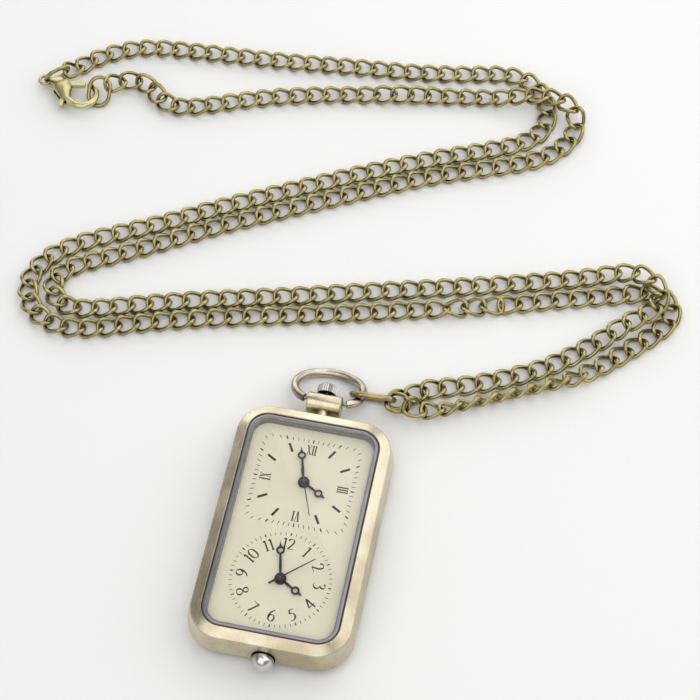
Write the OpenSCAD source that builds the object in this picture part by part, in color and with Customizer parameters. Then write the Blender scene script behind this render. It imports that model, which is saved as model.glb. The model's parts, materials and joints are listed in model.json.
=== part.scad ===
// Rectangular pocket watch with two dials, lying on its back with its doubled curb chain
// Origin: centre of the flat back. +Z comes out of the dials, +Y points to the pendant

/* [Case] */
// Width of the case across its widest edge
case_w = 29.4; // [28.4:0.2:32]
// Room from each movement's end to the widest edge of the case
end_room = 5.125; // [4.725:0.1:6.525]
// Height of the bezel above the flat of the back
case_t = 8.0; // [7.8:0.1:9]
// Corner radius of the widest edge
edge_r = 6.5; // [6.3:0.1:7]
// Height of the widest edge
edge_z = 2.8; // [2.4:0.1:3.2]
// Thickness of the case wall at its foot
wall = 2.4; // [2.2:0.1:2.6]
// How far the side wall flares out from the front edge to the widest edge
flare = 0.7; // [0.4:0.1:0.9]
// Width of the sloping band round the front
band_w = 2.0; // [1.6:0.1:2.3]
// Drop of the sloping band from its inner to its outer edge
band_drop = 1.0; // [0.6:0.1:1.4]
// Height of the joint between case and back cover
joint_z = 1.6; // [1.4:0.1:1.8]

/* [Back cover] */
// Thickness of the flat of the back cover
cover_t = 0.6; // [0.4:0.1:0.7]
// How far the flat of the back is drawn in from the widest edge
cover_inset = 2.6; // [2.2:0.1:3]
// Height of the snap wall inside the case
snap_h = 0.9; // [0.6:0.1:1.2]
// Thickness of the snap wall
snap_t = 0.5; // [0.4:0.1:0.8]
// Width and height of the sealing ring of the back
gasket_s = 0.5; // [0.4:0.05:0.6]

/* [Crystal and dial] */
// Width of the grey ring that holds the crystal
ring_w = 1.0; // [0.8:0.1:1.2]
// Thickness of the crystal
crystal_t = 0.8; // [0.6:0.1:0.9]
// Depth of the dial face below the bezel
dial_depth = 1.95; // [1.9:0.05:2.2]
// Thickness of the dial plate
dial_t = 0.4; // [0.3:0.1:0.5]
// How far the middle of the two dials lies from the middle of the case, towards the lower end
dial_shift = 0.275; // [0:0.025:0.4]

/* [Hands] */
// Length of the hour hands
hour_len = 4.85; // [4.4:0.05:5.5]
// Length of the minute hands
minute_len = 7.1; // [6.4:0.05:7.6]
// Length of the second hands
second_len = 6.9; // [6.4:0.05:7.6]
// Length of the tails of the second hands
tail_len = 2.3; // [1.4:0.1:2.6]
// Outer diameter of the open eye in the hour and minute hands
eye_d = 1.5; // [1.3:0.05:1.7]
// Thickness of a hand
hand_t = 0.18; // [0.14:0.01:0.2]
// Gap between one hand and the next
hand_gap = 0.2; // [0.16:0.01:0.22]
// Time on the upper dial, hours after twelve
upper_time = 3.956; // [0:0.002:11.998]
// Seconds on the upper dial
upper_seconds = 26.6; // [0:0.1:59.9]
// Time on the lower dial, hours after twelve
lower_time = 3.966; // [0:0.002:11.998]
// Seconds on the lower dial
lower_seconds = 8.2; // [0:0.1:59.9]

/* [Movements] */
// Width of a movement
mov_w = 15.3; // [14:0.1:17]
// Length of a movement
mov_l = 17.8; // [17:0.1:18]
// Gap between the two movements
mov_apart = 1.05; // [0.6:0.05:1.4]
// Thickness of a movement
mov_t = 4.2; // [4:0.1:4.4]
// Thickness of the plastic main plate
plate_t = 1.3; // [1.1:0.1:1.4]
// Battery diameter
battery_d = 6.8; // [5.8:0.1:7.2]
// Battery thickness
battery_h = 2.6; // [2.1:0.05:2.6]
// Outer diameter of the coil
coil_d = 2.3; // [1.8:0.1:2.4]
// Length of the coil winding
coil_l = 8.0; // [6:0.2:9]

/* [Stems and crowns] */
// Height of both stems above the flat of the back
stem_z = 3.6; // [3.5:0.05:3.7]
// Stem diameter
stem_d = 1.0; // [0.8:0.05:1.1]
// Travel of a crown when it is pulled
pull = 0.9; // [0.5:0.1:1]
// Diameter of the ribbed upper crown
crown_d = 3.9; // [3.4:0.1:4.2]
// Length of the ribbed upper crown
crown_l = 1.9; // [1.5:0.1:2.2]
// Number of ribs on the upper crown
ribs = 28; // [20:1:36]
// Diameter of the ball crown at the bottom
ball_d = 3.9; // [3.4:0.1:4]
// How far the centre of the ball crown stands out from the widest edge
ball_out = 0.35; // [0.3:0.05:0.8]

/* [Pendant and bow] */
// Diameter of the barrel-shaped pendant
pendant_d = 6.8; // [6.2:0.1:6.9]
// Length of the pendant barrel
pendant_l = 3.5; // [3.2:0.1:4]
// Width of the pendant across its two flats
pendant_flat = 6.4; // [6:0.1:6.6]
// Length of the neck between case and pendant
neck_l = 2.35; // [2:0.05:2.8]
// Diameter of the neck
neck_d = 2.2; // [2:0.1:2.3]
// Wire diameter of the bow
bow_wire = 1.55; // [1.3:0.05:1.7]
// Half the width of the bow, to the middle of its wire
bow_half = 6.38; // [6.2:0.02:7]
// Radius of the bow's sides, to the middle of the wire
bow_side_r = 3.9; // [3.7:0.05:4]
// Reach of the bow from its pins to its far end, to the middle of the wire
bow_reach = 8.06; // [7.8:0.02:8.4]
// Diameter of the pins on the bow's ends
pin_d = 0.76; // [0.6:0.02:0.8]

/* [Chain] */
// Wire diameter of a chain link
wire_d = 0.7; // [0.6:0.02:0.72]
// Outer length of a chain link
link_l = 5.08; // [5.04:0.01:5.2]
// Outer width of a chain link
link_w = 4.0; // [3.9:0.05:4.1]
// Twist of a link, as the height of its raised quarters over its middle
link_rise = 0.62; // [0.58:0.01:0.68]
// Distance from one link to the next
pitch = 3.44; // [3.4:0.02:3.46]
// Outer length of the connecting ring
ring_l = 8.9; // [8.6:0.1:9.4]
// Outer width of the connecting ring
ring_out = 5.6; // [5.5:0.1:5.8]
// Wire diameter of the connecting ring
ring_wire = 1.1; // [0.9:0.05:1.2]

/* [Clasp] */
// Thickness of the clasp body
clasp_t = 2.5; // [2.3:0.1:2.8]
// Radius of the hook, to the middle of its wire
hook_r = 2.85; // [2.8:0.05:3]
// Wire diameter of the hook
hook_wire = 1.4; // [1.2:0.05:1.4]
// Wire diameter of the eye at the other end of the clasp
eye_wire = 0.6; // [0.5:0.05:0.6]
// Thickness of the clasp lever
lever_t = 1.0; // [0.8:0.05:1.1]
// Wire diameter of the two oval end rings
oval_wire = 0.8; // [0.7:0.05:0.8]
// Outer length of the oval ring in the clasp's eye
oval_l = 5.9; // [5.8:0.1:6.2]
// Outer length of the oval ring in the clasp's hook
hook_oval_l = 6.6; // [6.4:0.1:6.9]
// Outer width of the oval end rings
oval_w = 5.0; // [4.9:0.1:5.2]

/* [Fits] */
// Radial clearance of a part that turns or slides in another
run_gap = 0.08; // [0.06:0.01:0.1]
// Clearance between fixed parts that seat in each other
seat_gap = 0.05; // [0.03:0.01:0.08]

/* [Hidden] */
$fn = 48;

brass = [0.71, 0.66, 0.51];
brass_dark = [0.58, 0.52, 0.38];
silver = [0.82, 0.81, 0.8];
grey_ring = [0.55, 0.53, 0.58];
ivory = [0.91, 0.89, 0.8];
ink = [0.1, 0.09, 0.07];
steel = [0.65, 0.66, 0.68];
gilt = [0.8, 0.67, 0.35];
copper = [0.72, 0.38, 0.2];
green_board = [0.1, 0.32, 0.2];
black_plastic = [0.12, 0.12, 0.13];
white_plastic = [0.86, 0.86, 0.84];
rubber = [0.16, 0.16, 0.16];
glass = [0.8, 0.85, 0.88, 0.35];

// The case takes its length from the movements, and the hands their places
case_l = 2 * mov_l + mov_apart + 2 * end_room;
upper_y = (mov_l + mov_apart) / 2 - dial_shift;
lower_y = -(mov_l + mov_apart) / 2 - dial_shift;

// Every outline of the case is this rectangle, grown by a radius
core_x = case_w / 2 - edge_r;
core_y = case_l / 2 - edge_r;
front_r = edge_r - flare;
front_z = case_t - band_drop;
bezel_r = front_r - band_w;
open_r = bezel_r - ring_w;
bore_r = edge_r - wall;
dial_top = case_t - dial_depth;
dial_under = dial_top - dial_t;
mov_under = dial_under - mov_t;
foot_r = edge_r - cover_inset;
flange_r = edge_r - 0.6;
snap_r = bore_r - seat_gap;
groove_r = bore_r + 0.4;
edge_y = case_l / 2;
bore_y = core_y + bore_r;

// Crystal seat in the ring
crystal_top = case_t + 0.2;
crystal_r = open_r + 0.2;
crystal_under = crystal_top - crystal_t;

// Ball crown and its notch
ball_y = -edge_y - ball_out;
notch_r = ball_d / 2 + 0.15;
notch_floor = ball_y + ball_d / 2 + 0.1;

// Pendant
pendant_y = edge_y + neck_l;
pivot_y = pendant_y + pendant_l / 2;
crown_recess = 0.7;
crown_y = pendant_y + pendant_l - crown_recess + 0.1;
sleeve_r = stem_d / 2 + run_gap;

// Hand axle radii, each running in the next
arbor_r = 0.15;
cannon_in = arbor_r + run_gap;
cannon_out = cannon_in + 0.19;
hour_in = cannon_out + run_gap;
hour_out = hour_in + 0.22;
plate_hole = hour_out + run_gap;
dial_hole = plate_hole + 0.2;
hour_z = dial_top + 0.22;
minute_z = hour_z + hand_t + hand_gap;
second_z = minute_z + hand_t + hand_gap;
hub_r = 1.05;

// Bow outline: one wide arc across the top and a tighter arc down each side
bow_side_x = bow_half - bow_side_r;
bow_side_t = 3.5;
bow_rise = bow_reach - bow_side_t;
bow_top_r = (pow(bow_side_r, 2) - pow(bow_side_x, 2) - pow(bow_rise, 2)) / (2 * (bow_side_r - bow_rise));
bow_join = atan2(bow_side_t - bow_reach + bow_top_r, bow_side_x);
bow_end_x = pendant_flat / 2 + 0.75;
bow_end = acos((bow_end_x - bow_side_x) / bow_side_r);
bow_tilt = asin((stem_z - bow_wire / 2 - 0.02) / bow_reach);

// Connecting ring, leaning over with one end round the bow
ring_x = 8.25;
ring_y = 30.6;
ring_lean = 24.5;
ring_twist = 2;
ring_z = (ring_out - ring_wire) / 2 * cos(ring_lean) + ring_wire / 2 + 0.03;

// Clasp, in its own frame: the eye is the origin and the hook opens at the far end
clasp_at = [-72.2, 90.8];
clasp_turn = -10.6;
clasp_z = clasp_t / 2 + 0.45;
hook_at = [8.8, -0.6];
hook_from = -115;
hook_to = 95;
eye_r = 1.1;
lever_at = [4.6, 0.1];
lever_pin_r = 0.35;

// Place of the bow's pins that the chain's routes are drawn for: the chain moves with the pins
route_pin_y = 27.55;
module from_bow() {
    translate([0, pivot_y - route_pin_y, 0])
        children();
}

// Route of the strand that ends at the clasp: x, y, roll about the strand, and lift off the table
clasp_route = [
    [11.3, 30.0, 35, 1.4], [14.9, 29.8, 25, 1.7], [18.1, 30.0, -10, 0.7], [21.6, 31.1, -36, 0],
    [25.2, 32.8, -56, 0], [29.0, 34.6, -58, 0], [32.6, 36.4, -58, 0], [36.2, 38.2, -58, 0],
    [40.0, 40.2, -50, 0], [44.0, 42.5, -30, 0], [47.6, 45.4, -8, 0], [51.6, 49.3, 0, 0],
    [55.2, 52.9, 0, 0], [58.4, 56.4, 0, 0], [60.3, 59.4, 0, 0], [59.9, 62.6, 0, 0],
    [57.4, 64.5, 0, 0], [54.1, 64.3, 0, 0], [50.4, 62.8, 0, 0], [45, 61.2, 0, 0],
    [38, 59.1, 0, 0], [30, 56.5, 0, 0], [20, 53.7, 0, 0], [10, 51.0, 0, 0],
    [0, 48.3, 0, 0], [-10, 45.8, 0, 0], [-20, 43.4, 0, 0], [-30, 40.8, 0, 0],
    [-40, 37.7, 0, 0], [-47, 35.3, 0, 0], [-53.6, 34.7, 0, 0], [-59.0, 37.3, 0, 0],
    [-61.6, 42.5, 0, 0], [-60.2, 48.1, 0, 0], [-56.0, 52.5, 0, 0], [-50.0, 56.1, 0, 0],
    [-40, 61.3, 0, 0], [-30, 67.1, 0, 0], [-20, 72.5, 0, 0], [-10, 77.8, 0, 0],
    [0, 82.9, 0, 0], [10, 87.6, 0, 0], [18, 91.0, 0, 0], [24.2, 93.7, 0, 0],
    [28.6, 96.9, 0, 0], [30.3, 101.1, 0, 0], [29.6, 105.3, 0, 0], [27.3, 109.1, 0, 0],
    [23.6, 111.3, 0, 0], [18.6, 111.3, 0, 0], [10, 109.5, 0, 0], [0, 108.1, 0, 0],
    [-12, 107.1, 0, 0], [-24, 105.9, 0, 0], [-36, 105.1, 0, 0], [-46, 104.5, 0, 0],
    [-53, 103.8, 0, 0], [-58.5, 102.0, 0, 0], [-63.3, 98.9, 0, 0], [-66.1, 96.2, 0, 0],
    [-68.4, 93.4, -11, 1.0]
];
// Route of the strand that ends in the ring held by the clasp
ring_route = [
    [11.5, 30.7, 33, 0.2], [14.7, 32.6, 9, 0.1], [17.5, 34.9, 11, 0], [21.1, 36.1, -2, 0],
    [25.0, 37.4, 0, 0], [29.0, 39.1, 0, 0], [32.6, 40.8, 0, 0], [36.2, 42.7, 0, 0],
    [39.8, 45.0, 0, 0], [43.4, 48.0, 0, 0], [46.8, 51.0, 0, 0.1], [50.0, 53.9, 0, 0.9],
    [53.0, 56.6, 0, 1.9], [56.3, 58.9, 0, 2.0], [57.8, 62.1, 0, 2.0], [56.6, 65.3, 0, 2.0],
    [53.5, 67.2, 0, 1.9], [50.0, 67.2, 0, 1.3], [46, 66.2, 0, 0.3], [40, 64.3, 0, 0],
    [30, 61.3, 0, 0], [20, 58.5, 0, 0], [10, 55.8, 0, 0], [0, 53.1, 0, 0],
    [-10, 50.3, 0, 0], [-20, 47.7, 0, 0], [-30, 45.1, 0, 0], [-40, 42.1, 0, 0],
    [-47, 39.9, 0, 0], [-52.4, 39.0, 0, 0], [-56.0, 40.9, 0, 0], [-57.0, 44.5, 0, 0],
    [-54.8, 47.7, 0, 0], [-49, 51.1, 0, 0], [-40, 56.2, 0, 0], [-30, 62.3, 0, 0],
    [-20, 67.7, 0, 0], [-10, 73.0, 0, 0], [0, 78.2, 0, 0], [10, 83.1, 0, 0],
    [20, 87.1, 0, 0], [27, 89.9, 0, 0], [32.2, 93.1, 0, 0], [35.4, 97.3, 0, 0],
    [36.3, 101.4, 0, 0.5], [34.9, 104.4, 0, 1.9], [31.4, 106.0, 0, 2.0], [27.4, 105.8, 0, 2.0],
    [23.6, 105.1, 0, 1.9], [19.6, 104.8, 0, 0.4], [10, 103.5, 0, 0], [0, 101.7, -20, 0],
    [-8, 100.3, 0, 0], [-16, 98.7, 0, 0], [-26, 96.0, 0, 0], [-34, 93.1, 0, 0],
    [-39.6, 90.9, 0, 0], [-43.8, 89.7, -5, 0], [-47.1, 90.1, -15, 0], [-49.6, 92.6, -30, 0],
    [-52.0, 94.2, -24, 0], [-55.4, 94.1, -28, 0.1], [-59.0, 91.2, -15, 1.4]
];
// Gap left between the chain and the table
table_gap = 0.12;
// Points worked out between two points of a route
route_steps = 8;
// Number of links in each node of a strand
links_per_node = 31;

// A point on the smooth curve between points b and c, with a and d beyond them
function curve_point(a, b, c, d, t) =
    0.5 * ((2 * b) + (c - a) * t + (2 * a - 5 * b + 4 * c - d) * t * t + (3 * b - a - 3 * c + d) * t * t * t);
function smooth(route) = let (n = len(route)) [
    for (i = [0 : n - 2], s = [0 : route_steps - 1])
        curve_point(route[max(i - 1, 0)], route[i], route[i + 1], route[min(i + 2, n - 1)], s / route_steps),
    route[n - 1]
];
// Middle of a link's wire in the link's own frame: an oval whose quarters lie up and down by turns
function link_wire(a) = [
    link_a * cos(a) / cos(22.5),
    link_b * sin(a) / cos(22.5),
    link_rise * sin(2 * a) / sin(45)
];
// Height of a link's middle above the table at a roll
function rest_height(roll) =
    max([for (k = [0 : 7]) let (v = link_wire(22.5 + 45 * k)) abs(v[1] * sin(roll) + v[2] * cos(roll))])
    + wire_d / 2 + table_gap;
// The route as places above the table: x, y, z and roll
function path(route) = [for (v = smooth(route)) [v[0], v[1], rest_height(v[2]) + max(v[3], 0), v[2]]];
function xyz(v) = [v[0], v[1], v[2]];
function run_lengths(p) = [
    for (i = 0, s = 0; i < len(p); i = i + 1, s = s + (i < len(p) ? norm(xyz(p[i]) - xyz(p[i - 1])) : 0)) s
];
function column(p, s, c) = [for (i = [0 : len(p) - 1]) [s[i], p[i][c]]];

link_a = (link_l - wire_d) / 2;
link_b = (link_w - wire_d) / 2;

function last(v) = v[len(v) - 1];
// Places of the joints between links, evenly along the route
function joints(route) = let (
    p = path(route), s = run_lengths(p), n = floor(last(s) / pitch), step = last(s) / n,
    cols = [for (c = [0 : 3]) column(p, s, c)]
) [
    for (i = [0 : n]) [for (c = [0 : 3]) lookup(i * step, cols[c])]
];
function unit(v) = v / norm(v);
// Corners of one link between two joints: eight rings of four corners
function link_points(p, q) = let (
    mid = (xyz(p) + xyz(q)) / 2,
    along = unit(xyz(q) - xyz(p)),
    level = unit(cross([0, 0, 1], along)),
    rise = cross(along, level),
    roll = (p[3] + q[3]) / 2,
    side = level * cos(roll) + rise * sin(roll),
    up = rise * cos(roll) - level * sin(roll)
) [
    for (k = [0 : 7]) let (
        a = 22.5 + 45 * k,
        v = link_wire(a),
        t = unit(link_wire(a + 45) - link_wire(a - 45)),
        out = unit(cross(t, [0, 0, 1])),
        top = cross(out, t)
    )
        for (j = [0 : 3]) let (w = v + wire_d / 2 * (out * cos(45 + 90 * j) + top * sin(45 + 90 * j)))
            mid + along * w[0] + side * w[1] + up * w[2]
];
function link_faces(first) = [
    for (k = [0 : 7], j = [0 : 3]) let (
        a = first + 4 * k + j,
        b = first + 4 * k + (j + 1) % 4,
        c = first + 4 * ((k + 1) % 8) + j,
        d = first + 4 * ((k + 1) % 8) + (j + 1) % 4
    )
        each [[a, c, b], [b, c, d]]
];

module links(route, part) {
    j = joints(route);
    first = part * links_per_node;
    stop = min(first + links_per_node, len(j) - 1) - 1;
    color(brass) from_bow() polyhedron(
        points = [for (i = [first : stop]) each link_points(j[i], j[i + 1])],
        faces = [for (i = [0 : stop - first]) each link_faces(32 * i)]
    );
}

// Sweeps a section of [radius, height] points round the rounded rectangle of the case
module rim(section) {
    for (sx = [0, 1], sy = [0, 1])
        mirror([sx, 0, 0])
            mirror([0, sy, 0])
                translate([core_x, core_y, 0])
                    rotate_extrude(angle = 90, $fn = 64)
                        polygon(section);
    for (sx = [0, 1])
        mirror([sx, 0, 0])
            translate([core_x, 0, 0])
                rotate([90, 0, 0])
                    linear_extrude(2 * core_y, center = true)
                        polygon(section);
    for (sy = [0, 1])
        mirror([0, sy, 0])
            translate([0, core_y, 0])
                rotate([90, 0, 90])
                    linear_extrude(2 * core_x, center = true)
                        polygon(section);
}

// A flat plate with the outline of the case core grown by a radius
module slab(r, low, high) {
    translate([0, 0, low]) {
        translate([-core_x - r, -core_y, 0])
            cube([2 * (core_x + r), 2 * core_y, high - low]);
        translate([-core_x, -core_y - r, 0])
            cube([2 * core_x, 2 * (core_y + r), high - low]);
        for (x = [-core_x, core_x], y = [-core_y, core_y])
            translate([x, y, 0])
                cylinder(r = r, h = high - low);
    }
}

function arc(cx, cy, r, from, to, n) =
    [for (i = [0 : n]) let (a = from + (to - from) * i / n) [cx + r * cos(a), cy + r * sin(a)]];

// A cylinder along Y between two places
module rod_y(r, from, to, z = stem_z) {
    translate([0, from, z])
        rotate([-90, 0, 0])
            cylinder(r = r, h = to - from);
}

module case_frame() {
    lip = 0.3;
    section = concat(
        [[bore_r, joint_z], [groove_r, joint_z], [groove_r, joint_z + gasket_s + seat_gap],
         [groove_r + gasket_s + seat_gap, joint_z + gasket_s + seat_gap], [groove_r + gasket_s + seat_gap, joint_z],
         [flange_r, joint_z]],
        arc(edge_r - lip, edge_z, lip, -60, 0, 3),
        arc(front_r - lip, front_z - lip / 2, lip, 10, 60, 3),
        [[bezel_r + 0.15, case_t], [bezel_r, case_t - 0.15], [bezel_r, dial_top], [bore_r, dial_top]]
    );
    color(brass) difference() {
        rim(section);
        rod_y(neck_d / 2 + seat_gap, core_y, edge_y + 1);
        rod_y(sleeve_r, -edge_y - 1, -core_y);
        rod_y(notch_r, -edge_y - 1, notch_floor);
    }
}

module back_cover() {
    base = joint_z - seat_gap;
    round_r = base;
    section = concat(
        [[snap_r - snap_t, cover_t / 2], [snap_r - snap_t, base + snap_h], [snap_r, base + snap_h], [snap_r, base],
         [flange_r, base], [flange_r, base - 0.3]],
        [for (i = [1 : 5]) let (a = 90 * i / 5)
            [foot_r + (flange_r - foot_r) * cos(a), (base - 0.3) * (1 - sin(a))]],
        [[snap_r - snap_t, 0]]
    );
    color(brass) {
        rim(section);
        slab(snap_r - snap_t, 0, cover_t);
    }
}

module back_gasket() {
    low = joint_z;
    section = [[groove_r + seat_gap, low], [groove_r + gasket_s, low],
               [groove_r + gasket_s, low + gasket_s], [groove_r + seat_gap, low + gasket_s]];
    color(rubber) rim(section);
}

module crystal_ring() {
    outer = bezel_r - seat_gap;
    bead_z = case_t - 0.2;
    section = concat(
        [[open_r, dial_top], [outer, dial_top]],
        [[outer, bead_z - 0.15], [outer - 0.2, bead_z + 0.1], [outer - 0.45, bead_z + 0.2]],
        [[crystal_r + seat_gap, bead_z + 0.2], [crystal_r + seat_gap, crystal_under - 0.02],
         [open_r, crystal_under - 0.02]]
    );
    color(grey_ring) rim(section);
}

module crystal() {
    bevel = 0.2;
    color(glass) {
        slab(crystal_r, crystal_under, crystal_top - bevel);
        slab(crystal_r - bevel, crystal_top - bevel, crystal_top);
    }
}

module dial() {
    color(ivory) difference() {
        slab(bore_r - 0.1, dial_under, dial_top);
        for (y = [upper_y, lower_y])
            translate([0, y, dial_under - 1])
                cylinder(r = dial_hole, h = dial_t + 2);
    }
}

// Rounded block centred on a hand axle
module block(w, l, low, high, r) {
    translate([0, 0, low]) {
        translate([-w / 2 + r, -l / 2, 0])
            cube([w - 2 * r, l, high - low]);
        translate([-w / 2, -l / 2 + r, 0])
            cube([w, l - 2 * r, high - low]);
        for (x = [-w / 2 + r, w / 2 - r], y = [-l / 2 + r, l / 2 - r])
            translate([x, y, 0])
                cylinder(r = r, h = high - low);
    }
}

// Places a part of a movement: the upper stem points to the pendant, the lower one away from it
module at_movement(upper) {
    translate([0, upper ? upper_y : lower_y, 0])
        rotate(upper ? 0 : 180)
            children();
}

module movement_holder() {
    top = dial_under - seat_gap;
    color(white_plastic) difference() {
        slab(bore_r - snap_t - 3 * seat_gap, mov_under, top);
        for (upper = [true, false])
            at_movement(upper) {
                block(mov_w + 2 * seat_gap, mov_l + 2 * seat_gap, mov_under - 1, top + 1, 1.5);
                rod_y(stem_d / 2 + 0.4, 0, edge_y);
            }
    }
}

module pendant() {
    chamfer = 0.35;
    color(brass) difference() {
        union() {
            intersection() {
                translate([0, pendant_y, stem_z])
                    rotate([-90, 0, 0])
                        rotate_extrude($fn = 64)
                            polygon([[0, 0], [pendant_d / 2 - chamfer, 0], [pendant_d / 2, chamfer],
                                     [pendant_d / 2, pendant_l - chamfer], [pendant_d / 2 - chamfer, pendant_l],
                                     [0, pendant_l]]);
                translate([-pendant_flat / 2, 0, -1])
                    cube([pendant_flat, 2 * edge_y, 2 * case_t]);
            }
            rod_y(neck_d / 2, bore_y, pendant_y + 1);
        }
        rod_y(sleeve_r, 0, 2 * edge_y);
        rod_y(crown_d / 2 + 0.12, pendant_y + pendant_l - crown_recess, 2 * edge_y);
        for (side = [-1, 1])
            translate([side * (pendant_flat / 2 - 1), pivot_y, stem_z])
                rotate([0, side * 90, 0])
                    cylinder(d = pin_d + 2 * run_gap, h = 2);
    }
}

battery_at = [0.85 + battery_d / 2 - mov_w / 2, 0.8 + battery_d / 2 - mov_l / 2];
coil_x = mov_w / 2 - coil_d / 2 - 0.6;
coil_y = coil_l / 2 + 2.3 - mov_l / 2;
plate_low = dial_under - plate_t;
bridge_t = 0.4;
board_t = 0.3;
lever_x = 2.1;
hour_wheel_r = 2.1;
hour_wheel_t = 0.25;
// The seconds wheel runs between the battery and the stator
second_wheel_r = min(2, norm(battery_at) - battery_d / 2 - 0.3, coil_x - coil_d / 2 - 2.45);
second_wheel_t = 0.3;
pillar_r = 0.5;

module main_plate(upper) {
    color(black_plastic) at_movement(upper) difference() {
        block(mov_w, mov_l, plate_low, dial_under - seat_gap, 1.5);
        translate([0, 0, plate_low - 1])
            cylinder(r = plate_hole, h = plate_t + 2);
        translate([0, 0, dial_under - 2 * hour_wheel_t])
            cylinder(r = hour_wheel_r + 0.2, h = plate_t);
        translate([battery_at[0], battery_at[1], plate_low - 1])
            cylinder(d = battery_d + 0.4, h = plate_t);
    }
}

module battery(upper) {
    top = mov_under + battery_h + bridge_t;
    color(silver) at_movement(upper)
        translate([battery_at[0], battery_at[1], top - battery_h]) {
            cylinder(d = battery_d, h = battery_h - 0.4);
            cylinder(d = battery_d - 1.6, h = battery_h);
        }
}

module battery_strap(upper) {
    color(steel) at_movement(upper)
        translate([0, 0, mov_under]) {
            translate([battery_at[0] - 0.9, battery_at[1] - battery_d / 2 - 0.4, 0.05])
                cube([1.8, battery_d + 0.8, 0.3]);
            translate([battery_at[0] - 0.9, battery_at[1] - battery_d / 2 - 0.4, 0.05])
                cube([1.8, 0.3, mov_t - plate_t - 0.1]);
        }
}

module circuit_board(upper) {
    color(green_board) at_movement(upper)
        translate([-mov_w / 2 + 0.5, 0.4, plate_low - board_t - seat_gap])
            cube([mov_w / 2 - 1.4, mov_l / 2 - 2.2, board_t]);
}

module quartz_can(upper) {
    can_d = 1.5;
    color(silver) at_movement(upper)
        translate([-5, 1.4, plate_low - board_t - 2 * seat_gap - can_d / 2])
            rotate([-90, 0, 0]) {
                cylinder(d = can_d, h = 4.4);
                cylinder(d = can_d - 0.3, h = 4.9);
            }
}

module coil(upper) {
    core = 0.8;
    cheek = 0.4;
    color(copper) at_movement(upper)
        translate([coil_x, coil_y - coil_l / 2, plate_low - coil_d / 2 - seat_gap])
            rotate([-90, 0, 0]) {
                cylinder(d = coil_d - 0.3, h = coil_l);
                cylinder(d = core, h = coil_l + 2);
                for (y = [0, coil_l - cheek])
                    translate([0, 0, y])
                        cylinder(d = coil_d, h = cheek);
            }
}

module stator(upper) {
    rotor_r = 0.9;
    color(steel) at_movement(upper)
        translate([coil_x - coil_d / 2 - 2.15, coil_y - 5.3, plate_low - 0.6]) difference() {
            cube([2, 8.4, 0.5]);
            translate([1, 4.2, -1])
                cylinder(r = rotor_r * 0.7, h = 3);
        }
}

module train_bridge(upper) {
    low = mov_under + 0.05;
    color(steel) at_movement(upper) difference() {
        union() {
            block(mov_w - 0.4, mov_l - 0.4, low, low + bridge_t, 1.3);
            for (x = [-1, 1], y = [-1, 1])
                translate([x * (mov_w / 2 - 1.25), y * (mov_l / 2 - 1), low])
                    cylinder(r = pillar_r, h = plate_low - low);
        }
        translate([battery_at[0], battery_at[1], low - 1])
            cylinder(d = battery_d + 0.4, h = 3);
        translate([battery_at[0] - 1.1, -mov_l, low - 1])
            cube([2.2, mov_l + battery_at[1], 3]);
        translate([battery_at[0] - 1.1, battery_at[1], low - 1])
            cube([2.2, battery_d / 2 + 0.7, 3]);
    }
}

// Stem with the slot that the setting lever sits in, out to its crown
slot_y = 4.6;
slot_l = 0.7;
module stem(upper) {
    tip = upper ? crown_y + crown_l - 0.5 - upper_y : lower_y - ball_y + ball_d / 4 - seat_gap;
    color(steel) at_movement(upper) difference() {
        rod_y(stem_d / 2, 2.6, tip);
        difference() {
            rod_y(stem_d, slot_y, slot_y + slot_l);
            rod_y(stem_d / 2 - 0.2, slot_y, slot_y + slot_l);
        }
    }
}

module setting_lever(upper) {
    t = slot_l - 0.2;
    color(steel) at_movement(upper)
        translate([0, slot_y + 0.1, stem_z]) difference() {
            translate([stem_d / 2 - 0.2 + run_gap, 0, -0.5])
                cube([lever_x, t, 1]);
            translate([0, -1, 0])
                rotate([-90, 0, 0])
                    cylinder(r = stem_d / 2 - 0.2 + run_gap, h = 3);
        }
}

function rib_outline(d, n, depth) = [
    for (i = [0 : 2 * n - 1]) let (a = 180 * i / n, r = d / 2 - (i % 2) * depth) [r * cos(a), r * sin(a)]
];

module upper_crown() {
    dome = 0.35;
    color(silver) translate([0, crown_y, stem_z]) rotate([-90, 0, 0]) difference() {
        union() {
            linear_extrude(crown_l - dome)
                polygon(rib_outline(crown_d, ribs, 0.14));
            translate([0, 0, crown_l - dome])
                cylinder(d1 = crown_d - 0.3, d2 = crown_d - 0.9, h = dome);
        }
        translate([0, 0, -1])
            cylinder(d = stem_d, h = crown_l + 0.5);
    }
}

module lower_crown() {
    color(silver) translate([0, ball_y, stem_z]) difference() {
        sphere(d = ball_d);
        rotate([-90, 0, 0])
            translate([0, 0, -ball_d / 4])
                cylinder(d = stem_d, h = ball_d);
    }
}

module hour_wheel(upper) {
    low = dial_under - 1.7 * hour_wheel_t;
    color(gilt) at_movement(upper) difference() {
        union() {
            translate([0, 0, low])
                cylinder(r = hour_out, h = hour_z + hand_t - low);
            translate([0, 0, low])
                linear_extrude(hour_wheel_t)
                    polygon(rib_outline(2 * hour_wheel_r, 36, 0.2));
        }
        translate([0, 0, hour_z - 3])
            cylinder(r = hour_in, h = 6);
    }
}

module cannon_pinion(upper) {
    color(gilt) at_movement(upper) difference() {
        translate([0, 0, plate_low - 0.4])
            cylinder(r = cannon_out, h = minute_z + hand_t - plate_low + 0.4);
        translate([0, 0, 0])
            cylinder(r = cannon_in, h = case_t + 2);
    }
}

module second_arbor(upper) {
    color(steel) at_movement(upper) union() {
        translate([0, 0, plate_low - 1])
            cylinder(r = arbor_r, h = second_z + hand_t - plate_low + 1);
        translate([0, 0, plate_low - 0.6 - second_wheel_t])
            linear_extrude(second_wheel_t)
                polygon(rib_outline(2 * second_wheel_r, 30, 0.15));
    }
}

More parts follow.
